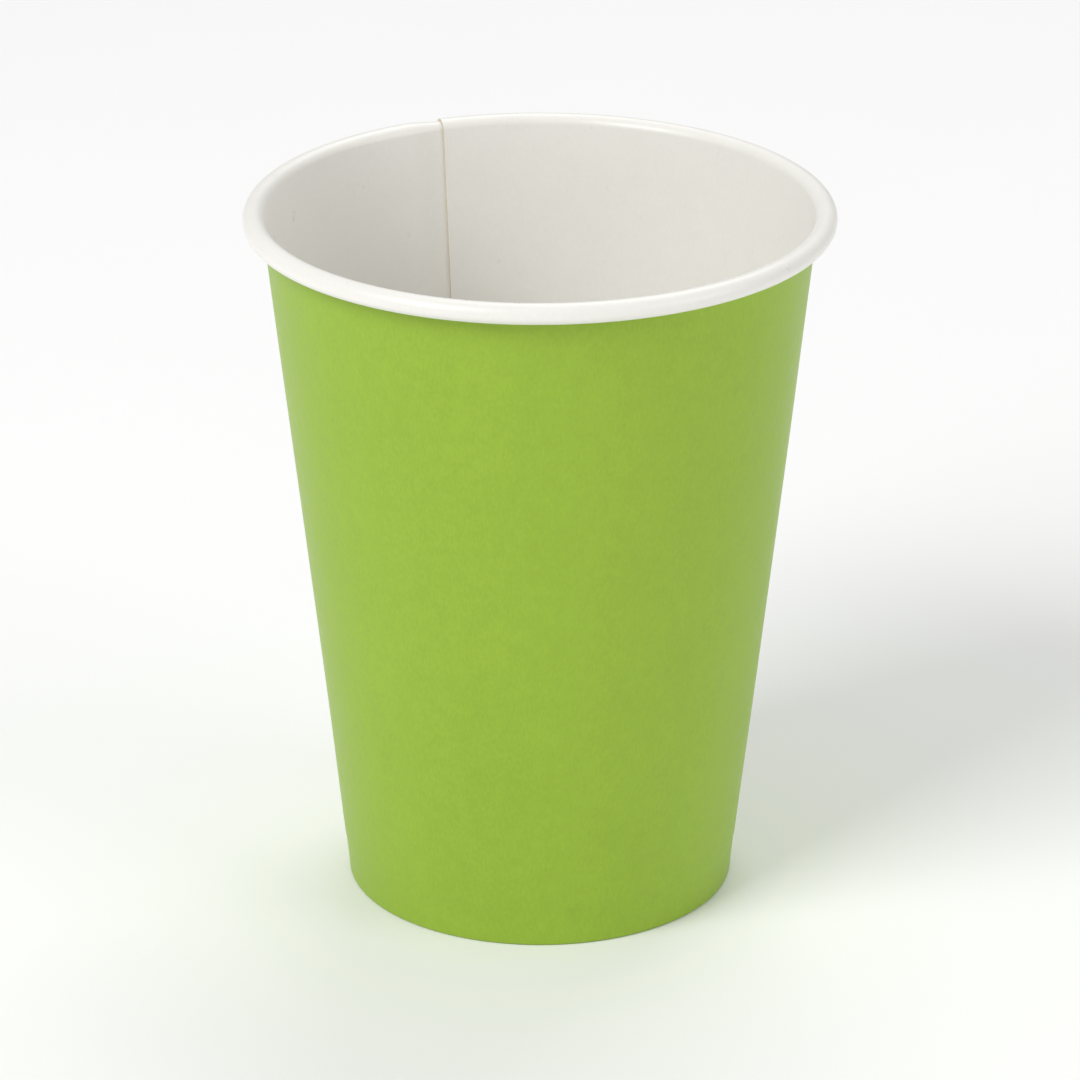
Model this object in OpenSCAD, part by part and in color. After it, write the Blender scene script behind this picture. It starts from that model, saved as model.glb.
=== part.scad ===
// A single-wall paper cup made of two pieces of board: a side blank that is wrapped to a cone,
// rolled outwards at the rim and folded inwards at the bottom, and a base disc with a skirt.
// The origin is the centre of the base ring on the table, and +Z runs up the cup's axis.

/* [Cup] */
// Diameter across the rolled rim
rim_d = 90; // [80:0.5:100]
// Height from the table to the top of the rim
cup_h = 110; // [90:1:130]
// Diameter across the folded bottom edge
base_d = 60; // [52:0.5:66]

/* [Board] */
// Thickness of the side blank
wall_t = 0.4; // [0.3:0.02:0.5]
// Thickness of the base disc
disc_t = 0.36; // [0.28:0.02:0.46]
// Room between layers of board that lie on each other unglued
layer_gap = 0.05; // [0.03:0.01:0.1]

/* [Rolled rim] */
// Diameter of the roll
roll_d = 3.3; // [2.8:0.1:4.2]
// Angle over which the free edge turns on inside the roll
roll_tail = 55; // [20:5:90]

/* [Bottom hem] */
// Radius on the inside of both bends of the bottom fold
fold_in = 0.06; // [0.04:0.01:0.1]
// Distance from the hem's free edge up to the underside of the disc
hem_room = 1; // [0.8:0.1:3]

/* [Base disc] */
// Height of the disc's top face above the table, where the next cup of a stack would stand
disc_top = 7.4; // [7:0.1:10]
// Radius on the outside of the bend between disc and skirt
disc_bend = 1; // [0.7:0.1:1.5]
// Room between the skirt's lower edge and the bottom of its pocket
skirt_room = 0.3; // [0.2:0.05:1]

/* [Side seam] */
// Width of the glued lap at half height
lap_w = 8; // [5:0.5:11]
// Direction of the middle of the lap seen from above, in degrees from +X
lap_at = 105; // [0:5:355]
// Depth to which the facet beside the lap sinks into the face of the single wall
facet_sink = 0.04; // [0.02:0.01:0.08]
// Height over which the inner raw edge stays clear of the roll and of the disc
edge_stop = 0.6; // [0.4:0.1:1.5]

/* [Hidden] */
// Facets of a turn about the cup's axis, and of the small bends of the board
turn_fn = 144;
bend_fn = 64;
board_white = [0.93, 0.92, 0.88];
print_green = [0.60, 0.73, 0.27];

// Centres of the roll and of the fold's outer bend in the plane of the section
roll_r = roll_d / 2;
fold_r = wall_t + fold_in;
roll_x = rim_d / 2 - roll_r;
roll_z = cup_h - roll_r;
fold_x = base_d / 2 - fold_r;

// The wall is tangent to both: its outer face to the fold's bend, its inner face to the roll
reach = norm([roll_x - fold_x, roll_z - fold_r]);
lean_in = roll_r - wall_t + fold_r;
slope = atan2(roll_x - fold_x, roll_z - fold_r) - asin(lean_in / reach);
wall_len = sqrt(pow(reach, 2) - pow(lean_in, 2));

// The roll's second half turn and its tail lie inside the first half turn
second_r = roll_r - (wall_t + layer_gap) / 2;
tail_r = roll_r - wall_t - layer_gap;

// Wall and hem leave a pocket that holds the skirt of the disc
pocket = disc_t + 2 * layer_gap;
fold_flat = (pocket - 2 * fold_in) / cos(slope);
hem_h = disc_top - disc_t - hem_room;
hem_len = (hem_h - fold_r * (1 + sin(slope))) / cos(slope);

// The disc's bend touches the wall's inner face with a layer's room
skirt_depth = wall_t + layer_gap;
bend_z = disc_top - disc_bend;
bend_x = wall_r(skirt_depth + disc_bend, bend_z);
skirt_len = (bend_z - disc_bend * sin(slope) - wall_t - skirt_room) / cos(slope);

// Beside the lap the outer layer runs straight down to the single wall, as a flat facet
mid_r = wall_r(0, cup_h / 2);
facet_w = sqrt(pow(mid_r + wall_t, 2) - pow(mid_r - facet_sink, 2));
lap_angle = lap_w / mid_r * 180 / PI;
lap_start = lap_at - lap_angle / 2;
facet_at = lap_at + lap_angle / 2 + asin(facet_w / (mid_r + wall_t));
edge_low = (disc_top + edge_stop) / cos(slope);
edge_high = (roll_z - edge_stop) / cos(slope);

// The lap goes up to where its outer face meets the underside of the roll, a layer's room short
under_r = second_r + layer_gap;
lap_drop = sqrt(pow(under_r, 2) - pow(under_r - wall_t, 2));
lap_top = roll_z + (roll_r - 2 * wall_t) * sin(slope) - lap_drop * cos(slope);

// Radius at height z of the surface that lies depth inside the wall's outer face
function wall_r(depth, z) = fold_x + (fold_r - depth) / cos(slope) + (z - fold_r) * tan(slope);

// Holds what follows on a stretch of board, t thick, by a small square inside the board across the
// joint, so that rounding leaves no hair between the two ends
module joined(t) {
    translate([t / 4, -t / 4]) square(t / 2);
    children();
}

// Straight run of board, t thick, along +Y from the origin; what follows starts at its end
module run(len, t) {
    square([t, len]);
    if ($children > 0) translate([0, len]) joined(t) children();
}

// Bend of board, t thick, that starts along +Y and turns towards -X, with radius r on its outside,
// which is the face at x = t; what follows starts at its end, again along +Y of its own frame
module bend(r, t, angle) {
    translate([t - r, 0]) {
        difference() {
            circle(r, $fn = bend_fn);
            circle(r - t, $fn = bend_fn);
            translate([-2 * r, -4 * r]) square(4 * r);
            if (angle < 180) rotate(angle) translate([-2 * r, 0]) square(4 * r);
        }
        if ($children > 0) rotate(angle) translate([r - t, 0]) joined(t) children();
    }
}

// Section of the side blank: from the foot of the wall up round the roll, and down round the hem
module side_section() {
    translate([fold_x, fold_r]) rotate(-slope) translate([fold_in, 0]) {
        run(wall_len, wall_t)
            translate([wall_t, 0]) mirror([1, 0])
                bend(roll_r, wall_t, 180)
                    bend(second_r, wall_t, 180)
                        bend(tail_r, wall_t, roll_tail);
        mirror([0, 1])
            joined(wall_t)
                bend(fold_r, wall_t, 90 - slope)
                    run(fold_flat, wall_t)
                        bend(fold_r, wall_t, 90 + slope)
                            run(hem_len, wall_t);
    }
}

// Section of the disc: flat from the axis to the bend, then down the skirt
module disc_section() {
    translate([0, disc_top - disc_t]) square([bend_x, disc_t]);
    translate([bend_x, bend_z]) mirror([1, -1]) translate([disc_bend - disc_t, 0])
        joined(disc_t)
            bend(disc_bend, disc_t, 90 + slope)
                run(skirt_len, disc_t);
}

// Section of the lap's outer layer, from the middle of the wall's thickness outwards
module lap_section() {
    polygon([
        [wall_r(wall_t / 2, fold_r), fold_r], [wall_r(-wall_t, fold_r), fold_r],
        [wall_r(-wall_t, lap_top), lap_top], [wall_r(wall_t / 2, lap_top), lap_top]
    ]);
}

// Places its children on the facet: +X out of the facet, +Y round the cup, +Z up along the wall
module on_facet() {
    rotate(facet_at) translate([wall_r(facet_sink, 0), 0, 0]) rotate([0, slope, 0]) children();
}

// Outer layer of the lap, from its raw edge to the line where the facet has sunk into the wall
module lap_layer() {
    difference() {
        rotate_extrude(angle = facet_at - lap_start, start = lap_start, $fn = turn_fn) lap_section();
        on_facet() translate([0, -2 * facet_w, 0]) cube([2 * wall_t, 3 * facet_w, 2 * cup_h]);
    }
}

// Room inside the facet, beside the raw edge of the lap's inner layer
module inner_edge() {
    on_facet() translate([-3 * wall_t, -facet_w, edge_low])
        cube([2 * wall_t, facet_w, edge_high - edge_low]);
}

module side_wall() {
    color(print_green)
        difference() {
            union() {
                rotate_extrude($fn = turn_fn) side_section();
                lap_layer();
            }
            inner_edge();
        }
}

module base_disc() {
    color(board_white) rotate_extrude($fn = turn_fn) disc_section();
}

side_wall();
base_disc();
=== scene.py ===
"""A paper cup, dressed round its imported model.

The cup is two pieces of coated board. The side wall is one sheet, wrapped with a lap, rolled outwards
at the rim and folded into a hem at the bottom. The base disc is held by its skirt inside that hem.
Both are worked out as surfaces over two parameters, the way along the section and the angle round the
cup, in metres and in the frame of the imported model.
"""
import math

import bpy
import numpy as np
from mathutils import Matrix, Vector


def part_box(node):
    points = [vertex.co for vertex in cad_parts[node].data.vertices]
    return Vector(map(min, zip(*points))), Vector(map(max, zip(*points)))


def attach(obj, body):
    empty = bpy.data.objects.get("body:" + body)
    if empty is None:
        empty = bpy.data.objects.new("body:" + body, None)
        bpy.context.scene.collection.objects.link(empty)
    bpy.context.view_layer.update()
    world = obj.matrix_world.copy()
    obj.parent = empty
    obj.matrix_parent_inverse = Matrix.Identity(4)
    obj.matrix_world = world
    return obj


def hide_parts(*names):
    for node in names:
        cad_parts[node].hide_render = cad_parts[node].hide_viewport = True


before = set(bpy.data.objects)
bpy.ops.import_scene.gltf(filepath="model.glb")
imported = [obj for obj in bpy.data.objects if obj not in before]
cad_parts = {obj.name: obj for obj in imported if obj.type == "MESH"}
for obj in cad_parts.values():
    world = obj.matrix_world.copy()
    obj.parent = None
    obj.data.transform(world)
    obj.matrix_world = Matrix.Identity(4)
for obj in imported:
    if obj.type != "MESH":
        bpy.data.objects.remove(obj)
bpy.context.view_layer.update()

# The side wall is a fan-shaped blank of cup board, printed on one face and coated with a film on the
# other. A machine wraps it to a cone, seals its two straight edges over each other, rolls the top edge
# outwards into the rim, and folds the bottom edge inwards and up into the hem.
board_t = 0.0004
layer_gap = 0.00005
rim_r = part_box("side_wall")[1].x
cup_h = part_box("side_wall")[1].z
base_r = 0.030
roll_r = 0.00165
roll_tail = 55
fold_in = 0.00006
fold_r = fold_in + board_t
hem_h = 0.00604
pocket = 0.00046

# The wall leans between the fold's outer bend and the roll, and is tangent to both
bend_at = np.array([base_r - fold_r, fold_r])
rise = np.array([rim_r - roll_r, cup_h - roll_r]) - bend_at
lean_in = roll_r - board_t + fold_r
slope = math.atan2(*rise) - math.asin(lean_in / math.hypot(*rise))
wall_len = math.sqrt(rise @ rise - lean_in**2)
inner_bend = np.array([1, math.tan(slope)]) * (2 * fold_in - pocket)
hem_top = (hem_h - fold_r) / math.cos(slope) + (inner_bend[0] - fold_r) * math.tan(slope)

# Angles of the lap in degrees round the cup: its outer layer starts at a raw edge, covers the inner
# layer up to that one's raw edge, and comes down to a single wall over a narrow facet. The roll opens
# to take the second layer a little before the lap, and droops under it. Board and glue are pressed
# thin at the foot of the lap, up to the lower of two heights, and have their full thickness again
# from the higher one on.
outer_edge = 98.65
inner_edge = 111.35
facet_end = 119
roll_lifts = 95.5
roll_sag = 0.0004
press_low, press_high = 0.003, 0.0095
glue = 0.00002

# The hem is pressed against the disc's skirt by a ribbed wheel, which also presses the wall outside it
# a little thinner, up to a faint step
ribs = 120
rib_depth = 0.00009
nip_depth = 0.00006
nip_low, nip_high = 0.0054, 0.0064

# A paper cup is never quite true: its mouth is a little oval, its rim dips and its wall waves
mouth_oval = 0.00025
rim_wave = 0.00012
wall_wave = 0.00009


def ease(x, start, end):
    """Rises from 0 at start to 1 at end, as 3 w^2 - 2 w^3 of the way w between them."""
    way = np.clip((x - start) / (end - start), 0, 1)
    return way * way * (3 - 2 * way)


def stops(*given):
    """Values that run evenly between stops, given as value, steps, value, steps, ... and value."""
    runs = zip(given[0:-2:2], given[1::2], given[2::2])
    return np.concatenate([np.linspace(a, b, n, endpoint=False) for a, n, b in runs] + [[given[-1]]])


def run(x, y, across):
    """Rows along the straight line at x over the given heights y, facing across, which is 1 or -1."""
    level = np.zeros((len(y), len(turn)))
    return np.stack([level + x, level + y[:, None], level + across, level])


def arc(start, end, steps, centre, radii, out):
    """Rows along an ellipse of given radii from start to end degrees, facing outwards where out is 1.

    A point is the centre plus the radii times cosine and sine, and its normal is cosine and sine over
    the radii, at length 1. The last row is left to the stretch that follows.
    """
    angle = np.radians(stops(start, steps, end)[:-1, None]) + 0 * turn
    across, along = np.cos(angle), np.sin(angle)
    size = np.hypot(across / radii[0], along / radii[1]) * out
    return np.stack([centre[0] + radii[0] * across, centre[1] + radii[1] * along,
                     across / radii[0] / size, along / radii[1] / size])


# Columns of the sheet from raw edge to raw edge, so that the lap's angles are gone over twice, and how
# far each belongs to the lap's outer layer, or to a stretch where the board lies double
turn = stops(outer_edge, 17, inner_edge, 12, facet_end, 448, roll_lifts + 360, 6, outer_edge + 360, 17,
             inner_edge + 360)
outer_layer = 1 - ease(turn, inner_edge, facet_end)
doubled = np.maximum(outer_layer, ease(turn, roll_lifts + 360, outer_edge + 360))

# The sheet's coated face in the plane of the section: down the hem, round the two bends of the fold, up
# the wall, over the roll and back inside it. The origin is the fold's outer bend, and y runs up the wall.
# Where the board lies double, the second half turn of the roll is narrower and hangs lower.
under = math.degrees(slope) - 90
layers = board_t + (board_t + glue) * doubled + layer_gap
second_r = roll_r - layers / 2
tail_r = roll_r - layers
roll_at = fold_in + roll_r
tail_at = roll_at + roll_r - 2 * second_r + tail_r
stretches = [
    run(inner_bend[0] - fold_in, stops(hem_top, 8, inner_bend[1])[:-1], -1),
    arc(-180, under, 6, inner_bend, (fold_in, fold_in), 1),
    arc(under, 0, 6, (0, 0), (fold_in, fold_in), 1),
    run(fold_in, stops(0, 3, nip_low, 5, nip_high, 4, press_high, 12, wall_len)[:-1], 1),
    arc(180, 0, 22, (roll_at, wall_len), (roll_r, roll_r), -1),
    arc(0, -180, 18, (roll_at + roll_r - second_r, wall_len), (second_r, second_r + roll_sag * doubled), -1),
    arc(180, 180 - roll_tail, 6, (tail_at, wall_len), (tail_r, tail_r), -1),
]
x, y, across, along = np.concatenate(stretches, axis=1)
hem_rows = len(stretches[0][0])

# The lap's outer layer is glued on the inner one. Both are pressed to half their thickness in the hem,
# from where the pressing runs out up the wall, and again in the roll's tail. The wheel's ribs show on
# the hem's free face.
tail_row = len(x) - len(stretches[-1][0])
second_row = tail_row - len(stretches[-2][0])
pressed = 1 - ease(y, press_low, press_high) + ease(np.arange(len(x))[:, None], second_row, tail_row)
lift = outer_layer * (board_t + glue) * (1 - pressed / 2)
thick = board_t - doubled * pressed * (board_t + glue) / 2
rib = (0.5 + 0.5 * np.cos(np.radians(turn) * ribs)) * np.sin(np.pi * np.clip(y / hem_top, 0, 1))
thick[:hem_rows] -= rib_depth * rib[:hem_rows]
nip = ease(y, 0, 0.001) * (1 - ease(y, nip_low, nip_high))
thick[hem_rows:] -= nip_depth * nip[hem_rows:]


def revolve(offset):
    """Points of the face that lies offset from the coated face towards the printed one.

    The plane of the section is tipped by the wall's slope, moved to the fold's place and turned by each
    column's angle. The mouth's oval and the rim's dip are cosines and sines of twice the angle, times a
    power of the height. The wall's waves are sines of three and seven times the angle.
    """
    px, py = x + across * offset, y + along * offset
    r = bend_at[0] + px * math.cos(slope) + py * math.sin(slope)
    z = bend_at[1] - px * math.sin(slope) + py * math.cos(slope)
    angle = np.radians(turn)
    high = z / cup_h
    body = ease(high, 0.07, 0.27) * (1 - ease(high, 0.64, 0.94))
    r = r - mouth_oval * (0.5 - 0.5 * np.cos(2 * angle - 0.6)) * high**2
    r = r + wall_wave * body * (np.sin(3 * angle + 1.1 + 2 * high) + 0.5 * np.sin(7 * angle + 3 * high))
    z = z - rim_wave * (0.5 + 0.5 * np.sin(2 * angle + 0.9)) * high**4
    return np.stack([r * np.cos(angle), r * np.sin(angle), z], -1)


def shell(front, back, closed):
    """Corners of a thin sheet with two faces, and the quads of both faces and of its free edges.

    Both faces are grids of rows by columns. A front quad runs from row i column j to column j + 1 and
    then to row i + 1, and a back quad runs the other way. The groups of quads are the front, the back,
    the first row's edge, the last row's and, unless the columns close on themselves, the two sides.
    """
    rows, cols = front.shape[:2]
    grid = np.arange(rows * cols).reshape(rows, cols)
    if closed:
        grid = np.concatenate([grid, grid[:, :1]], axis=1)
    behind = grid + rows * cols

    def patch(g):
        return np.stack([g[:-1, :-1], g[:-1, 1:], g[1:, 1:], g[1:, :-1]], -1).reshape(-1, 4)

    def strip(a, b):
        return np.stack([a[:-1], a[1:], b[1:], b[:-1]], -1)

    quads = [patch(grid), patch(behind)[:, ::-1], strip(behind[0], grid[0]), strip(grid[-1], behind[-1])]
    if not closed:
        quads += [strip(grid[:, 0], behind[:, 0]), strip(behind[:, -1], grid[:, -1])]
    return np.concatenate([front.reshape(-1, 3), back.reshape(-1, 3)]), quads


def piece(name, corners, groups, slots, finishes, sharp=35):
    """A smooth mesh of the given corners, with groups of faces that each take one slot of the finishes.

    An edge is sharp where two faces meet at more degrees than that, as at a raw edge of the board.
    """
    mesh = bpy.data.meshes.new(name)
    mesh.from_pydata(corners, [], [face for group in groups for face in group.tolist()])
    mesh.polygons.foreach_set("material_index", np.repeat(slots, [len(group) for group in groups]))
    for finish in finishes:
        mesh.materials.append(finish.material)
    mesh.shade_smooth()
    mesh.set_sharp_from_angle(angle=math.radians(sharp))
    made = bpy.data.objects.new(name, mesh)
    bpy.context.scene.collection.objects.link(made)
    return made


def ink(*levels):
    """Linear colour of sRGB levels from 0 to 255, by the curve of that standard."""
    share = np.array(levels) / 255
    return (*np.where(share <= 0.04045, share / 12.92, ((share + 0.055) / 1.055) ** 2.4), 1)


class Wire:
    """One output of a finish's nodes; plus, minus and times on it add Math nodes."""

    def __init__(self, finish, socket):
        self.finish, self.socket = finish, socket

    def math(self, operation, a, b):
        return self.finish.node("Math", {"operation": operation}, {0: a, 1: b})

    def __add__(self, other):
        return self.math("ADD", self, other)

    def __sub__(self, other):
        return self.math("SUBTRACT", self, other)

    def __rsub__(self, other):
        return self.math("SUBTRACT", other, self)

    def __mul__(self, other):
        return self.math("MULTIPLY", self, other)

    __radd__, __rmul__ = __add__, __mul__


class Finish:
    """The finish of one face of the board: a shader, and nodes that read the piece's own coordinates."""

    def __init__(self, name, **constants):
        self.material = bpy.data.materials.new(name)
        self.material.use_nodes = True
        self.shader = self.material.node_tree.nodes["Principled BSDF"]
        self.feed(self.shader, {word.replace("_", " "): value for word, value in constants.items()})

    def feed(self, node, inputs):
        for name, value in inputs.items():
            if isinstance(value, Wire):
                self.material.node_tree.links.new(value.socket, node.inputs[name])
            else:
                node.inputs[name].default_value = value

    def node(self, kind, settings, inputs, output=0):
        """The output of a new node of that kind, with its settings made first and then its inputs fed."""
        made = self.material.node_tree.nodes.new("ShaderNode" + kind)
        for name, value in settings.items():
            setattr(made, name, value)
        self.feed(made, inputs)
        return Wire(self, made.outputs[output])

    def grain(self, size, stretch=(1, 1, 1), detail=2):
        """Noise from -0.5 to 0.5 with grains of the given size in metres, drawn out by stretch."""
        place = self.node("TexCoord", {}, {}, "Object")
        place = self.node("VectorMath", {"operation": "DIVIDE"}, {0: place, 1: stretch})
        return self.node("TexNoise", {}, {"Vector": place, "Scale": 1 / size, "Detail": detail}) - 0.5

    def tint(self, colour, tone):
        """The colour times a tone about 1."""
        return self.node("VectorMath", {"operation": "SCALE"}, {0: colour[:3], "Scale": tone})

    def mix(self, share, colour, other):
        return self.node("Mix", {"data_type": "RGBA"}, {0: share, 6: colour, 7: other}, 2)

    def above(self, value, low, high):
        """0 where value is below low, 1 where it is above high, and a smooth step between them."""
        limits = {"Value": value, "From Min": low, "From Max": high}
        return self.node("MapRange", {"interpolation_type": "SMOOTHSTEP"}, limits)

    def relief(self, height, depth):
        """Normal of a surface whose height, from 0 to 1, stands for that depth in metres."""
        return self.node("Bump", {}, {"Height": height, "Distance": depth})


# The outside of the blank is printed lime green in one flat ink, with a satin varnish. The ink sinks in
# a little unevenly, and the fibres of the board show in it and in its gloss.
print_green = Finish("print_green", Specular_IOR_Level=0.25)
fibre = print_green.grain(0.00035, (1, 1, 2.5), 3)
mottle = print_green.grain(0.0022)
cloud = print_green.grain(0.013)
bare_fibre = print_green.above(print_green.grain(0.00022, (1, 1, 2)), 0.1, 0.35) * 0.2
lime = print_green.tint(ink(148, 180, 57), 1 + fibre * 0.22 + mottle * 0.12 + cloud * 0.06)
print_green.feed(print_green.shader, {
    "Base Color": print_green.mix(bare_fibre, lime, ink(180, 205, 108)),
    "Roughness": 0.40 + mottle * 0.2 + fibre * 0.2,
    "Normal": print_green.relief(fibre * 0.2 + mottle * 0.5 + cloud * 1.6, 0.00008),
})

# The inside of the blank is white board under a film of plastic. It is the face that the roll turns
# outwards, so the rim is white too.
film_white = Finish("film_white", Specular_IOR_Level=0.5)
fibre = film_white.grain(0.00045, (1, 1, 2), 3)
mottle = film_white.grain(0.004)
cloud = film_white.grain(0.03)
film_white.feed(film_white.shader, {
    "Base Color": film_white.tint(ink(237, 235, 229), 1 + fibre * 0.06 + mottle * 0.03 + cloud * 0.03),
    "Roughness": 0.33 + mottle * 0.2 + fibre * 0.15,
    "Normal": film_white.relief(fibre * 0.2 + mottle * 0.5 + cloud * 1.6, 0.00006),
})

# Where no ink or film covers it, the board is matt and a little creamy, with single fibres showing
bare_board = Finish("bare_board", Specular_IOR_Level=0.25)
fibre = bare_board.grain(0.00035, (1, 1, 2.5), 4)
speck = bare_board.above(bare_board.grain(0.0009), 0.2, 0.26)
chalk = bare_board.tint(ink(228, 222, 208), 1 + fibre * 0.10 + bare_board.grain(0.006) * 0.06)
bare_board.feed(bare_board.shader, {
    "Base Color": bare_board.mix(speck * 0.3, chalk, ink(188, 176, 150)),
    "Roughness": 0.78 + fibre * 0.15,
    "Normal": bare_board.relief(fibre, 0.00004),
})

# The knife leaves the board's middle open along the raw edges: soft, cream and fibrous
cut_edge = Finish("cut_edge", Specular_IOR_Level=0.2)
fibre = cut_edge.grain(0.00012, (1, 1, 4), 3)
cut_edge.feed(cut_edge.shader, {
    "Base Color": cut_edge.tint(ink(214, 204, 182), 1 + fibre * 0.3),
    "Roughness": 0.85 + fibre * 0.15,
    "Normal": cut_edge.relief(fibre, 0.00006),
})

# The ink ends part of the way up the hem, and the rest of the hem's face is bare board
corners, quads = shell(revolve(lift + thick), revolve(lift), closed=False)
bare = hem_rows // 2 * (len(turn) - 1)
side_wall = piece("side_wall_sheet", corners, [quads[0][:bare], quads[0][bare:], *quads[1:]],
                  [2, 0, 1, 3, 3, 3, 3], [print_green, film_white, bare_board, cut_edge])
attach(side_wall, "root")
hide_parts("side_wall")

# The base is a round blank of slightly thinner board, coated on its upper face. Its edge is turned down
# to a skirt, where the board crowds into fine pleats, and the hem grips the skirt.
disc_t = 0.00036
disc_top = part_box("base_disc")[1].z
skirt_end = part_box("base_disc")[0].z
disc_bend = 0.001
disc_sag = 0.00018
pleats = 96
pleat_depth = 0.00004
pleat_reach = 0.0015
last_ring_r = 0.0008

bend_z = disc_top - disc_bend
bend_x = bend_at[0] + (bend_z - bend_at[1]) * math.tan(slope)
bend_x += (fold_in - layer_gap - disc_bend) / math.cos(slope)
skirt_len = (bend_z - disc_bend * math.sin(slope) - skirt_end) / math.cos(slope)
disc_turn = np.linspace(0, 2 * math.pi, 384, endpoint=False)


def disc_face(radius, depth):
    """Points of the disc's face whose bend has the given radius, from the skirt's edge to the middle.

    A straight run up the skirt, an arc of 90 degrees plus the wall's slope, and a flat run inwards. The
    middle sags as a parabola. Pleats of that depth press the bend in along its normal, by a sine whose
    phase drifts.
    """
    skirt = stops(skirt_len, 6, 0)[:-1]
    angle = np.radians(stops(-math.degrees(slope), 10, 90)[:-1])
    flat = stops(bend_x, 4, bend_x - 0.002, 24, last_ring_r)
    out, up = math.cos(slope), -math.sin(slope)
    face_r = np.concatenate([out + 0 * skirt, np.cos(angle), 0 * flat])
    face_z = np.concatenate([up + 0 * skirt, np.sin(angle), 0 * flat + 1])
    r = np.concatenate([bend_x + skirt * up, bend_x + 0 * angle, flat]) + radius * face_r
    z = np.concatenate([bend_z - skirt * out, bend_z + 0 * angle, bend_z + 0 * flat]) + radius * face_z
    z = z - disc_sag * np.clip(1 - (r / bend_x) ** 2, 0, 1)
    drift = 2.2 * np.sin(7 * disc_turn) + 1.3 * np.sin(11 * disc_turn)
    pleat = 0.5 + 0.5 * np.sin(pleats * disc_turn + drift)
    crowd = depth * ease(r, bend_x - pleat_reach, bend_x + pleat_reach / 5)[:, None] * pleat
    r = r[:, None] - crowd * face_r[:, None]
    z = z[:, None] - crowd * face_z[:, None]
    return np.stack([r * np.cos(disc_turn), r * np.sin(disc_turn), z], -1)


# Each face closes on a point at the axis with a fan of triangles
top, below = disc_face(disc_bend, pleat_depth), disc_face(disc_bend - disc_t, pleat_depth / 2)
corners, quads = shell(top, below, closed=True)
rows, cols = top.shape[:2]
last = np.arange(cols) + (rows - 1) * cols
poles = [[0, 0, face[-1, :, 2].mean()] for face in (top, below)]
fans = []
for pole, ring in enumerate((last, last[::-1] + rows * cols)):
    tip = np.full_like(ring, len(corners) + pole)
    fans.append(np.stack([ring, np.roll(ring, -1), tip], -1))
base_disc = piece("base_disc_sheet", np.concatenate([corners, poles]), [*quads[:3], *fans],
                  [0, 1, 2, 0, 1], [film_white, bare_board, cut_edge])
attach(base_disc, "root")
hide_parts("base_disc")

# The stage: a wide pale floor, soft panels of light above and to the left and right, and a bright sky
floor_r = 9
floor_mesh = bpy.data.meshes.new("floor")
floor_corners = [(floor_r * a, floor_r * b, 0) for a, b in ((-1, -1), (1, -1), (1, 1), (-1, 1))]
floor_mesh.from_pydata(floor_corners, [], [(0, 1, 2, 3)])
floor = bpy.data.objects.new("floor", floor_mesh)
bpy.context.scene.collection.objects.link(floor)
floor_white = Finish("floor_white", Specular_IOR_Level=0.2)
floor_white.feed(floor_white.shader, {
    "Base Color": floor_white.tint(ink(250, 250, 250), 1 + floor_white.grain(0.05) * 0.01),
    "Roughness": 0.7,
})
floor_mesh.materials.append(floor_white.material)

middle = Vector((0, 0, cup_h / 2))


def look(thing, place):
    """Puts a light or camera at a place, with its -Z axis towards the middle of the cup."""
    thing.location = place
    thing.rotation_euler = (middle - Vector(place)).to_track_quat("-Z", "Y").to_euler()
    bpy.context.scene.collection.objects.link(thing)


# Place, size and watts of each panel
panels = {
    "panel_left": ((-0.9, -0.8, 1.1), 0.8, 15),
    "panel_right": ((1.2, -0.6, 0.5), 0.8, 4.5),
    "panel_top": ((0.2, 0.7, 1.1), 0.8, 5),
}
for name, (place, size, watts) in panels.items():
    light = bpy.data.lights.new(name, "AREA")
    light.size = size
    light.energy = watts
    look(bpy.data.objects.new(name, light), place)

sky = bpy.data.worlds.new("sky")
sky.use_nodes = True
sky.node_tree.nodes["Background"].inputs["Color"].default_value = (1, 1, 1, 1)
sky.node_tree.nodes["Background"].inputs["Strength"].default_value = 0.42
bpy.context.scene.world = sky

# The photograph has plain sRGB colours, so the picture is shown in them too
bpy.context.scene.view_settings.view_transform = "Standard"

# The camera stands where the photograph's did: in front, a little above the rim, and far enough off
# that the mouth opens as it does there. The lens makes the picture this wide at the middle of the cup.
camera_place = Vector((0, -0.85, 0.41))
picture_w = 0.167
lens = bpy.data.cameras.new("camera")
lens.lens = lens.sensor_width * (camera_place - middle).length / picture_w
camera = bpy.data.objects.new("camera", lens)
look(camera, camera_place)
bpy.context.scene.camera = camera
